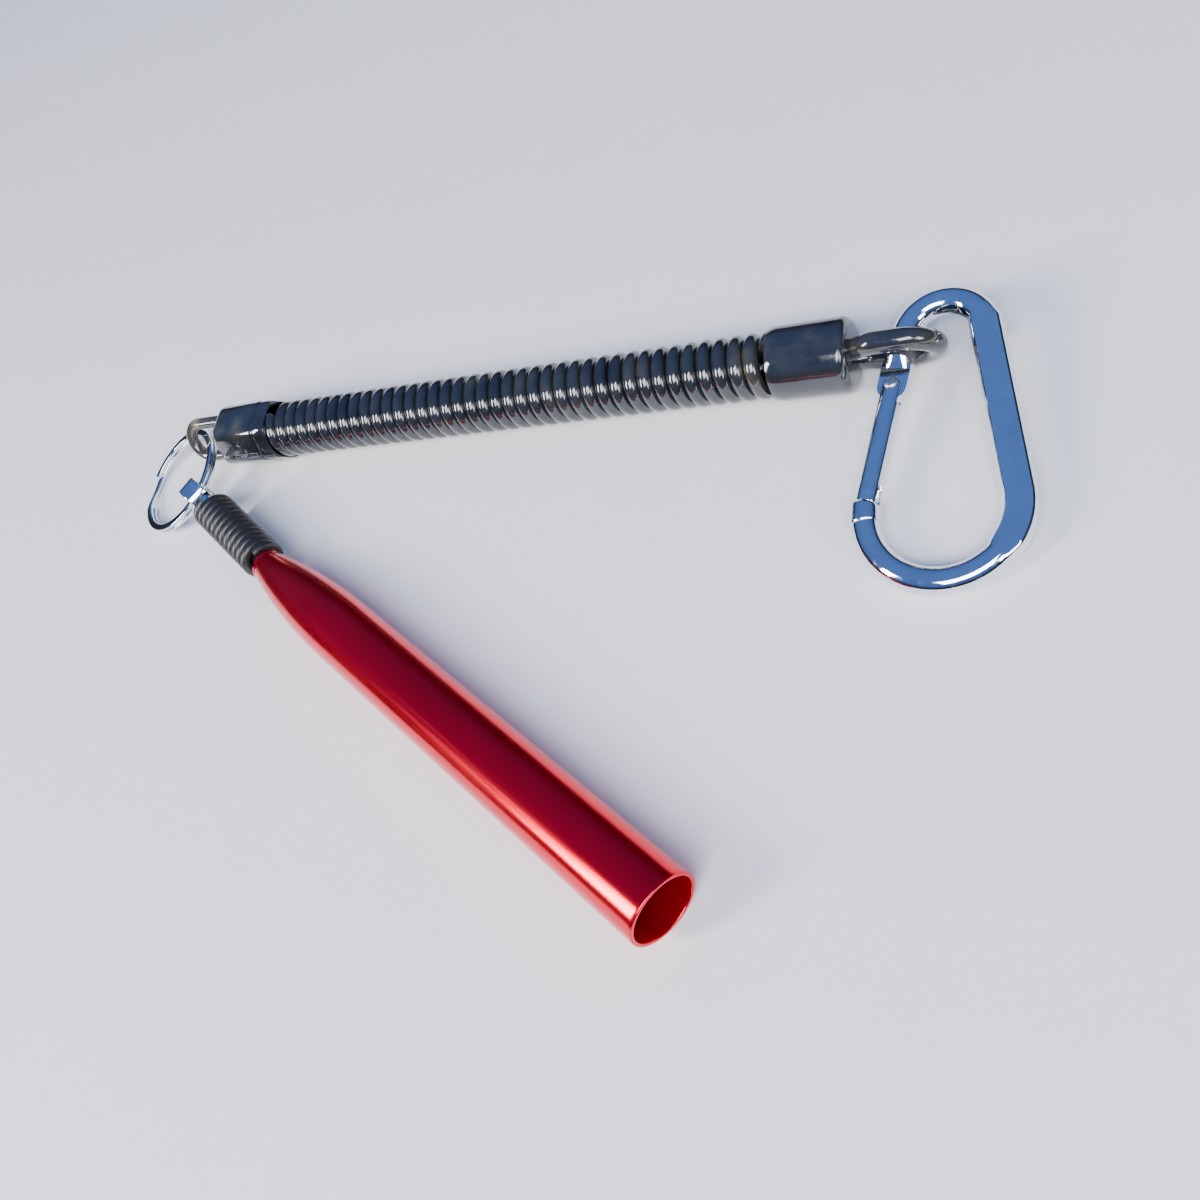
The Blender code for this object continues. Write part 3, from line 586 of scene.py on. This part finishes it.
class TETHER_OT_carabiner(bpy.types.Operator):
    """Builds the carabiner's bar with its pressed spine, tongue, collar and hook"""

    bl_idname = "tether.carabiner"
    bl_label = "Carabiner bar"

    def execute(self, context):
        settings = context.scene.tether_carabiner
        body = carabiner_place()
        rings = [bar_ring(body, *station) for station in bar_stations(settings)]
        bar = drawn("carabiner_bar", rings, sharp=24.0)
        alloy = polished_metal("polished_alloy_bar", tuple(settings.metal), 0.9, (1.0, 0.15, 1.0))
        dress(bar, alloy, "carabiner", "polished_alloy", "carabiner_frame")
        place = gate_place()
        hook = boxed("nose_hook", place, (20.9 * MM, -1.5 * MM, -0.5 * MM), (NOSE_DISTANCE + MM, 1.5 * MM, 0.5 * MM))
        bpy.ops.object.mode_set(mode="EDIT")
        shape = bmesh.from_edit_mesh(hook.data)
        along = place.to_3x3() @ Vector((-1, 0, 0))
        for face in shape.faces:
            face.select_set(face.normal.dot(along) > 0.9)
        bmesh.update_edit_mesh(hook.data)
        bpy.ops.mesh.extrude_region_move(TRANSFORM_OT_translate={"value": along * 0.02 * MM})
        across = place.to_3x3() @ Vector((0, 0, 1))
        shape = bmesh.from_edit_mesh(hook.data)
        middle = place.translation
        for vert in shape.verts:
            if vert.select:
                vert.co += across * (0.5 * MM if (vert.co - middle).dot(across) > 0 else -0.5 * MM)
        bmesh.update_edit_mesh(hook.data)
        bpy.ops.mesh.extrude_region_move(TRANSFORM_OT_translate={"value": along * 1.08 * MM})
        bpy.ops.object.mode_set(mode="OBJECT")
        soften(hook, 0.12 * MM)
        dress(hook, alloy, "carabiner", "polished_alloy")
        return {"FINISHED"}


class TETHER_OT_gate(bpy.types.Operator):
    """Builds the gate with its fork, hook slot and rivet, and finishes its hidden spring and plunger"""

    bl_idname = "tether.gate"
    bl_label = "Gate and rivet"

    def execute(self, context):
        settings = context.scene.tether_carabiner
        place = gate_place()
        radius = settings.gate_diameter / 2
        profile = [(-2.1 * MM * sin(radians(a)), radius * cos(radians(a))) for a in (82, 68, 54, 40, 26, 12, 0)]
        profile += [(GATE_LENGTH - 0.25 * MM, radius), (GATE_LENGTH - 0.07 * MM, radius - 0.06 * MM),
                    (GATE_LENGTH, radius - 0.22 * MM)]
        gate = turned("gate_sleeve", place, profile, 48)
        far = 4 * MM
        cut(gate, boxed("fork_slot", place, (-far, -far, -1.4 * MM), (3.5 * MM, far, 1.4 * MM)))
        cut(gate, boxed("hook_pocket", place, (19.0 * MM, -far, -1.3 * MM), (21.25 * MM, far, 1.3 * MM)))
        cut(gate, boxed("hook_slot", place, (21.0 * MM, -far, -0.8 * MM), (GATE_LENGTH + far, far, 0.8 * MM)))
        soften(gate, 0.1 * MM)
        alloy = polished_metal("polished_alloy_gate", tuple(settings.metal), 0.92, (0.2, 1.0, 1.0))
        dress(gate, alloy, "gate", "polished_alloy", "carabiner_gate")
        upright = place @ Matrix.Rotation(pi / 2, 4, "Y")
        seat, head = 2.2 * MM, 1.15 * MM
        dome = [(seat, head * 0.74), (seat, head)]
        dome += [(seat + 0.5 * MM * sin(radians(a)), head * cos(radians(a))) for a in (15, 30, 45, 60, 75, 86)]
        profile = [(-x, r) for x, r in dome[::-1]] + dome
        rivet = turned("rivet", upright, profile, 32)
        steel = brushed_steel("rivet_steel", (0.72, 0.72, 0.74))
        dress(rivet, steel, "carabiner", "spring_steel", "gate_rivet")
        wire = brushed_steel("spring_wire_steel", (0.55, 0.56, 0.58))
        for node in ("gate_spring", "gate_plunger"):
            paint_node(node, wire)
        return {"FINISHED"}


# ---------------------------------------------------------------- lanyard shapes
def smooth_step(t):
    t = min(max(t, 0.0), 1.0)
    return t * t * (3 - 2 * t)


def loop_path(place, arc_radius, straight, face, half_at_face, half_in_crimp, settle, crimp_end):
    """The middle line of a cord loop, its tip towards the place's own X."""
    half = [(arc_radius * cos(pi / 2 * i / 16), arc_radius * sin(pi / 2 * i / 16)) for i in range(17)]
    for i in range(1, 5):
        half.append((-straight * i / 4, arc_radius))
    for i in range(1, 13):
        t = i / 12
        half.append((-straight - (face - straight) * t, arc_radius + (half_at_face - arc_radius) * smooth_step(t)))
    for i in range(1, 9):
        t = i / 8
        half.append((-face - settle * t, half_at_face + (half_in_crimp - half_at_face) * smooth_step(t)))
    half.append((-crimp_end, half_in_crimp))
    upper = [place @ Vector((x, 0, z)) for x, z in half]
    lower = [place @ Vector((x, 0, -z)) for x, z in half[1:]]
    return upper[::-1] + lower


class TETHER_OT_upper_end(bpy.types.Operator):
    """Builds the loop on the carabiner's bar and the round boot it comes out of"""

    bl_idname = "tether.upper_end"
    bl_label = "Upper loop and boot"

    def execute(self, context):
        settings = context.scene.tether_lanyard
        up = (0, -sin(UPPER_LOOP_ROLL), cos(UPPER_LOOP_ROLL))
        lane = place_at((0, LANYARD_Y, LANYARD_Z), (1, 0, 0), up)
        cord, half = settings.upper_loop_cord, UPPER_LOOP_HALF
        arc_x = UPPER_LOOP_TIP_X - cord / 2 - half
        face = arc_x - UPPER_BOOT_END_X
        path = loop_path(lane @ Matrix.Translation((arc_x, 0, 0)), half, 4.3 * MM, face, 3.2 * MM, 2.3 * MM,
                         6.5 * MM, face + 13.4 * MM)
        loop = drawn("upper_loop_cord", cord_rings(path, cord / 2), sharp=60.0)
        smoke = tuple(settings.smoke)
        dress(loop, smoky_urethane("smoky_loop", smoke, (0.05, 0.045, 0.03)), "lanyard_top", "smoky_urethane",
              "upper_loop")
        start, end, radius = COIL_END_X + 0.1 * MM, UPPER_BOOT_END_X, 7.1 * MM
        outer = [(start, 6.6 * MM), (start, radius - 0.25 * MM), (start + 1.2 * MM, radius - 0.02 * MM),
                 (end - 0.9 * MM, radius), (end, radius - 1.0 * MM), (end - 0.15 * MM, 1.2 * MM)]
        outer = rounded(outer, 0.9 * MM)
        bore = [(end - END_WALL, 1.2 * MM), (end - END_WALL, 5.8 * MM), (start + 2.2 * MM, 5.8 * MM),
                (start + 1.9 * MM, 6.5 * MM), (start, 6.6 * MM)]
        boot = turned("upper_boot_sleeve", lane, [*outer, *bore], 144, joined=True)
        middle = Vector((0, LANYARD_Y, LANYARD_Z))
        for vert in boot.data.vertices:
            out = vert.co - middle
            out.x = 0.0
            if out.length > 6.7 * MM and vert.co.x > start + 0.3 * MM:
                angle = atan2(out.z, out.y)
                for line in (radians(103), radians(-77)):
                    rise = max(0.0, 1.0 - abs(angle - line) / radians(3.6))
                    vert.co += out.normalized() * 0.16 * MM * rise
        dress(boot, smoky_urethane("smoky_upper_boot", smoke, (0.06, 0.055, 0.04), ripple=0.5), "lanyard_top",
              "smoky_urethane", "upper_boot")
        paint_node("upper_crimp", brushed_steel("crimp_steel", (0.5, 0.5, 0.52)))
        return {"FINISHED"}


class TETHER_OT_coil(bpy.types.Operator):
    """Builds the coiled cord between the boots"""

    bl_idname = "tether.coil"
    bl_label = "Coiled cord"

    def execute(self, context):
        settings = context.scene.tether_lanyard
        strand, turns = settings.strand, settings.turns
        mean = (settings.coil_diameter - strand) / 2
        low, high = COIL_START_X + 0.2 * MM, COIL_END_X - 0.2 * MM
        pitch = (high - low) / turns
        place = Matrix.Translation((0, LANYARD_Y, LANYARD_Z))
        sides, steps = 14, 32
        coil = wound("coiled_cord", place, low, pitch, turns, mean, strand, sides, steps)
        coil.data.materials.append(
            smoky_urethane("smoky_coil", tuple(settings.smoke), (0.055, 0.052, 0.035), (0.05, 0.16), 0.2))
        count = turns * steps
        rings = [coil.data.vertices[n * sides:(n + 1) * sides] for n in range(count + 1)]
        path = [sum((vert.co for vert in ring), Vector()) / sides for ring in rings]
        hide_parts("coil")
        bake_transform(coil, "lanyard_end", "lanyard_top", start=path[0], end=path[-1])
        # The share runs along the strand, so every turn opens by the same amount.
        share = coil.data.attributes["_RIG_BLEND"]
        for number, item in enumerate(share.data):
            item.value = min(number // sides, count) / count
        return {"FINISHED"}


def hexagon_ring(place, x, flats, corner, sides=48):
    """A six-sided section with rounded corners."""
    apothem = flats / 2
    ring = []
    for i in range(sides):
        angle = 2 * pi * i / sides
        sharp = apothem / cos((angle % (pi / 3)) - pi / 6)
        reach = min(sharp, apothem / cos(pi / 6) - corner)
        ring.append(place @ Vector((x, reach * cos(angle), reach * sin(angle))))
    return ring


class TETHER_OT_lower_end(bpy.types.Operator):
    """Builds the six-sided boot and the moulded loop that carries the ring"""

    bl_idname = "tether.lower_end"
    bl_label = "Lower boot and loop"

    def execute(self, context):
        settings = context.scene.tether_lanyard
        smoke = tuple(settings.smoke)
        up = (0, cos(LOWER_LOOP_ROLL), sin(LOWER_LOOP_ROLL))
        lane = place_at((0, LANYARD_Y, LANYARD_Z), (-1, 0, 0), up)
        cord, half = settings.lower_loop_cord, LOWER_LOOP_HALF
        arc_x = LOWER_LOOP_TIP - cord / 2 - half
        face = arc_x + LOWER_BOOT_START_X
        path = loop_path(lane @ Matrix.Translation((arc_x, 0, 0)), half, 1.5 * MM, face + END_WALL, half,
                         1.8 * MM, 4.8 * MM, face + 14 * MM)
        loop = drawn("lower_loop_eye", cord_rings(path, cord / 2), sharp=60.0)
        # The eye's smoke and glow colours are lighter and warmer than the rest of the lanyard: painted sunlight on
        # the same smoky plastic.
        dress(loop, smoky_urethane("sunlit_smoky_eye", (0.03, 0.026, 0.02), (0.30, 0.24, 0.14), (0.08, 0.3), 0.6),
              "lanyard_end", "smoky_urethane", "lower_loop")
        level = Matrix.Translation((0, LANYARD_Y, LANYARD_Z)) @ Matrix.Rotation(pi, 4, "Z")
        start, end = -COIL_START_X + 0.1 * MM, -LOWER_BOOT_START_X
        sections = [(start, 13.2, 0.35), (start + 0.1 * MM, 13.3, 0.35),
                    (start + 0.35 * MM, 13.4, 0.4), (start + MM, 13.8, 0.45),
                    (start + 3.0 * MM, 13.85, 0.45), (start + 3.4 * MM, 13.4, 0.45), (start + 3.9 * MM, 13.4, 0.45),
                    (start + 4.3 * MM, 14.0, 0.4), (end - 1.6 * MM, 14.0, 0.4), (end - 0.8 * MM, 13.5, 0.5),
                    (end - 0.25 * MM, 12.7, 0.6), (end, 11.8, 0.6), (end - 0.1 * MM, 3.0, 0.1)]
        rings = [hexagon_ring(level, x, flats * MM, corner * MM) for x, flats, corner in sections]
        rings += [circle_ring(level, end - END_WALL, r * MM, 48) for r in (1.5, 5.8)]
        rings += [circle_ring(level, x, r * MM, 48) for x, r in ((start + 2.2 * MM, 5.8), (start + 1.9 * MM, 6.5))]
        rings += [circle_ring(level, start, 6.52 * MM, 48), rings[0]]
        boot = drawn("lower_boot_barrel", rings, joined=True, sharp=30.0)
        dress(boot, smoky_urethane("smoky_lower_boot", smoke, (0.07, 0.065, 0.045), (0.05, 0.2), 0.5),
              "lanyard_end", "smoky_urethane", "lower_boot")
        paint_node("lower_crimp", brushed_steel("lower_crimp_steel", (0.5, 0.5, 0.52)))
        return {"FINISHED"}


# ---------------------------------------------------------------- ring and eye
class TETHER_OT_split_ring(bpy.types.Operator):
    """Builds the split ring from two turns of flat wire"""

    bl_idname = "tether.split_ring"
    bl_label = "Split ring"

    def execute(self, context):
        settings = context.scene.tether_ring
        away = Vector((-0.9, -0.43, 0.0))
        place = place_at(RING_CENTRE, away - RING_NORMAL * away.dot(RING_NORMAL), RING_NORMAL)
        half_w, half_h, corner = settings.wire / 2, 0.475 * MM, 0.3 * MM
        section = []
        for a, b, first in ((1, 1, 0), (-1, 1, 90), (-1, -1, 180), (1, -1, 270)):
            for step in (0, 30, 60, 90):
                angle = radians(first + step)
                section.append((a * (half_w - corner) + corner * cos(angle),
                                b * (half_h - corner) + corner * sin(angle)))
        # Two flat turns, with one short crossing from the lower to the upper.
        steps, crossing_start, crossing_steps, rings_in_all = 132, 120, 12, 250
        pitch = 2 * half_h + 0.08 * MM
        rings = []
        for i in range(rings_in_all):
            angle = 2 * pi * i / steps
            lift = pitch * (smooth_step((i - crossing_start) / crossing_steps) - 0.5)
            out = Vector((cos(angle), sin(angle), 0))
            rings.append([place @ (out * (settings.radius + w) + Vector((0, 0, lift + h))) for w, h in section])
        ring = drawn("split_ring_wire", rings, sharp=40.0)
        chrome = polished_metal("chromed_ring", tuple(settings.chrome), 0.85, (1.0, 1.0, 0.1), (0.04, 0.14))
        dress(ring, chrome, "ring", "chromed_steel", "split_ring")
        return {"FINISHED"}


class TETHER_OT_screw_eye(bpy.types.Operator):
    """Builds the banded eye and its stem, and finishes the washer and nut inside the neck"""

    bl_idname = "tether.screw_eye"
    bl_label = "Screw eye"

    def execute(self, context):
        settings = context.scene.tether_ring
        place = place_at(EYE_CENTRE, (cos(EYE_ANGLE), sin(EYE_ANGLE), 0), (0, 0, 1))
        across = place @ Matrix.Rotation(pi / 2, 4, "Z")
        hole = settings.eye_hole / 2
        outer, half = hole + 1.35 * MM, 2.4 * MM
        profile = [(-half, hole), (-half, outer), (half, outer), (half, hole), (-half, hole), (-half, outer)]
        soft = rounded(profile, 0.45 * MM, 5)[1:-1]
        eye = turned("eye_band", across, soft + [soft[0]], 96, joined=True)
        chrome = polished_metal("chromed_eye", tuple(settings.chrome), 0.8, (1.0, 0.2, 1.0), (0.05, 0.18))
        dress(eye, chrome, "tube", "chromed_steel", "screw_eye")
        start, end = outer - 0.8 * MM, 49.0 * MM
        stem = [(start, 2.0 * MM), (outer + 0.5 * MM, 1.85 * MM), (WRAP_START + 0.4 * MM, 1.7 * MM),
                (WRAP_START + 0.8 * MM, 1.2 * MM), (end - 0.3 * MM, 1.2 * MM), (end, 0.9 * MM)]
        shank = turned("eye_stem", place, stem, 48)
        dress(shank, chrome, "tube", "chromed_steel")
        steel = brushed_steel("nut_steel", (0.6, 0.6, 0.62))
        for node in ("eye_washer", "eye_nut"):
            paint_node(node, steel)
        return {"FINISHED"}


# ---------------------------------------------------------------- tube
class TETHER_OT_winding(bpy.types.Operator):
    """Winds the cord on the tube's neck"""

    bl_idname = "tether.winding"
    bl_label = "Neck winding"

    def execute(self, context):
        settings = context.scene.tether_tube
        place = place_at(EYE_CENTRE, (cos(EYE_ANGLE), sin(EYE_ANGLE), 0), (0, 0, 1))
        cord, turns = settings.winding_cord, settings.winding_turns
        mean = 4.95 * MM - cord / 2
        start = WRAP_START + cord / 2
        pitch = (cord * turns - cord) / turns
        thick = min(cord, pitch) * 0.985
        wrap = wound("neck_winding", place, start, pitch, turns, mean, thick, 16, 32)
        black = satin_winding("satin_black_cord")
        dress(wrap, black, "tube", "black_winding", "neck_wrap")
        paint_node("neck_core", black)
        return {"FINISHED"}


def neck_radius(settings, x):
    """Outer radius of the tube at a distance from its start."""
    full, tip, length = settings.diameter / 2, 3.16 * MM, 36.0 * MM
    left = max(0.0, 1 - x / length)
    return full - (full - tip) * left**2.19


class TETHER_OT_tube(bpy.types.Operator):
    """Draws the open tube with its bullet-shaped neck and finishes the plug"""

    bl_idname = "tether.tube"
    bl_label = "Tube and plug"

    def execute(self, context):
        settings = context.scene.tether_tube
        place = place_at(TUBE_START, (cos(TUBE_ANGLE), sin(TUBE_ANGLE), 0), (0, 0, 1))
        lip, end, wall = 3.2 * MM, settings.length, settings.wall
        stations = [lip + (36.0 * MM - lip) * i / 40 for i in range(41)]
        stations += [36.0 * MM + (end - 37.0 * MM) * i / 20 for i in range(1, 21)]
        outer = [(x, neck_radius(settings, x)) for x in stations]
        full = settings.diameter / 2
        rim = [(end - 0.25 * MM, full), (end - 0.08 * MM, full - 0.06 * MM), (end, full - 0.2 * MM),
               (end, full - wall + 0.18 * MM), (end - 0.08 * MM, full - wall + 0.05 * MM),
               (end - 0.25 * MM, full - wall)]
        inner = [(x, r - wall) for x, r in outer[::-1]]
        profile = outer + rim + inner + [outer[0]]
        tube = turned("red_tube", place, profile, 128, joined=True, sharp=50.0)
        red = anodised_red("red_anodised_tube", tuple(settings.red), TUBE_ANGLE)
        dress(tube, red, "tube", "red_anodised", "rescue_tube")
        paint_node("neck_plug", anodised_red("red_anodised_plug", tuple(settings.red), TUBE_ANGLE))
        return {"FINISHED"}


# ---------------------------------------------------------------- stage
def area_light(name, position, target, size, power, colour):
    """A soft rectangular light that points at target."""
    deselect()
    bpy.ops.object.light_add(type="AREA", location=position)
    light = bpy.context.object
    light.name = name
    light.data.shape = "RECTANGLE"
    light.data.size, light.data.size_y = size
    light.data.energy = power
    light.data.color = colour
    light.rotation_euler = (Vector(target) - Vector(position)).to_track_quat("-Z", "Y").to_euler()


class TETHER_OT_stage(bpy.types.Operator):
    """Sets out the floor, the lights and the camera"""

    bl_idname = "tether.stage"
    bl_label = "Stage"

    def execute(self, context):
        settings = context.scene.tether_stage
        deselect()
        bpy.ops.mesh.primitive_plane_add(size=6.0, location=(0, 0, CAD_BOX[0][2] - 0.00005))
        floor = context.object
        floor.name = "floor"
        material, tree, shader, place = blank("pale_floor")
        tone = tuple(settings.floor)
        worn = tuple(c * 0.985 for c in tone)
        mottle = ramp(tree, noise(tree, place, 60.0, 4.0), ((0.3, tone), (0.8, worn)))
        tree.links.new(mottle, shader.inputs["Base Color"])
        shader.inputs["Roughness"].default_value = 0.8
        floor.data.materials.append(material)
        middle = (0.0, 0.0, 0.01)
        area_light("key", (-0.62, -0.42, 0.52), middle, (0.16, 0.42), settings.key_power, (1.0, 0.95, 0.86))
        area_light("overhead", (0.25, -0.55, 0.8), middle, (0.7, 0.4), 12.0, (0.95, 0.97, 1.0))
        area_light("fill", (0.75, -0.35, 0.45), middle, (0.3, 0.3), 3.0, (1.0, 0.98, 0.95))
        world = context.scene.world or bpy.data.worlds.new("studio")
        context.scene.world = world
        world.use_nodes = True
        tree = world.node_tree
        ground = tree.nodes["Background"]
        coordinates = tree.nodes.new("ShaderNodeTexCoord")
        split = tree.nodes.new("ShaderNodeSeparateXYZ")
        tree.links.new(coordinates.outputs["Generated"], split.inputs["Vector"])
        sky = tuple(settings.sky)
        light = ramp(tree, split.outputs["Z"], ((0.0, (0.02, 0.02, 0.022)), (0.22, (0.03, 0.035, 0.05)),
                                               (0.45, tuple(c * 0.8 for c in sky)), (0.9, sky)))
        tree.links.new(light, ground.inputs["Color"])
        ground.inputs["Strength"].default_value = 0.9
        bpy.ops.object.camera_add(location=(0.13376, -0.07900, 0.17654))
        camera = context.object
        camera.name = "camera"
        forward, up = Vector((-0.4731, 0.3758, -0.7969)), Vector((0.0293, 0.9107, 0.4120))
        right = forward.cross(up).normalized()
        up = right.cross(forward).normalized()
        turn = Matrix((right, up, -forward.normalized())).transposed()
        camera.rotation_euler = turn.to_euler()
        camera.data.lens = 34.54
        camera.data.clip_start = 0.005
        context.scene.camera = camera
        return {"FINISHED"}


# ---------------------------------------------------------------- panel
GROUPS = (
    ("tether_carabiner", CarabinerSettings),
    ("tether_lanyard", LanyardSettings),
    ("tether_ring", RingSettings),
    ("tether_tube", TubeSettings),
    ("tether_stage", StageSettings),
)
OPERATORS = (
    TETHER_OT_carabiner,
    TETHER_OT_gate,
    TETHER_OT_upper_end,
    TETHER_OT_coil,
    TETHER_OT_lower_end,
    TETHER_OT_split_ring,
    TETHER_OT_screw_eye,
    TETHER_OT_winding,
    TETHER_OT_tube,
    TETHER_OT_stage,
)


class TETHER_PT_panel(bpy.types.Panel):
    """Lists the pieces and their sizes"""

    bl_label = "Tethered tube"
    bl_idname = "TETHER_PT_panel"
    bl_space_type = "VIEW_3D"
    bl_region_type = "UI"
    bl_category = "Tether"

    def draw(self, context):
        for name, group in GROUPS:
            box = self.layout.box()
            for prop in group.__annotations__:
                box.prop(getattr(context.scene, name), prop)
        for operator in OPERATORS:
            self.layout.operator(operator.bl_idname)


def register():
    for name, group in GROUPS:
        bpy.utils.register_class(group)
        setattr(bpy.types.Scene, name, bpy.props.PointerProperty(type=group))
    for thing in (*OPERATORS, TETHER_PT_panel):
        bpy.utils.register_class(thing)


def unregister():
    for thing in (TETHER_PT_panel, *OPERATORS[::-1]):
        bpy.utils.unregister_class(thing)
    for name, group in GROUPS[::-1]:
        delattr(bpy.types.Scene, name)
        bpy.utils.unregister_class(group)


def main():
    register()
    bpy.ops.tether.carabiner()
    bpy.ops.tether.gate()
    bpy.ops.tether.upper_end()
    bpy.ops.tether.coil()
    bpy.ops.tether.lower_end()
    bpy.ops.tether.split_ring()
    bpy.ops.tether.screw_eye()
    bpy.ops.tether.winding()
    bpy.ops.tether.tube()
    bpy.ops.tether.stage()


if __name__ == "__main__":
    main()
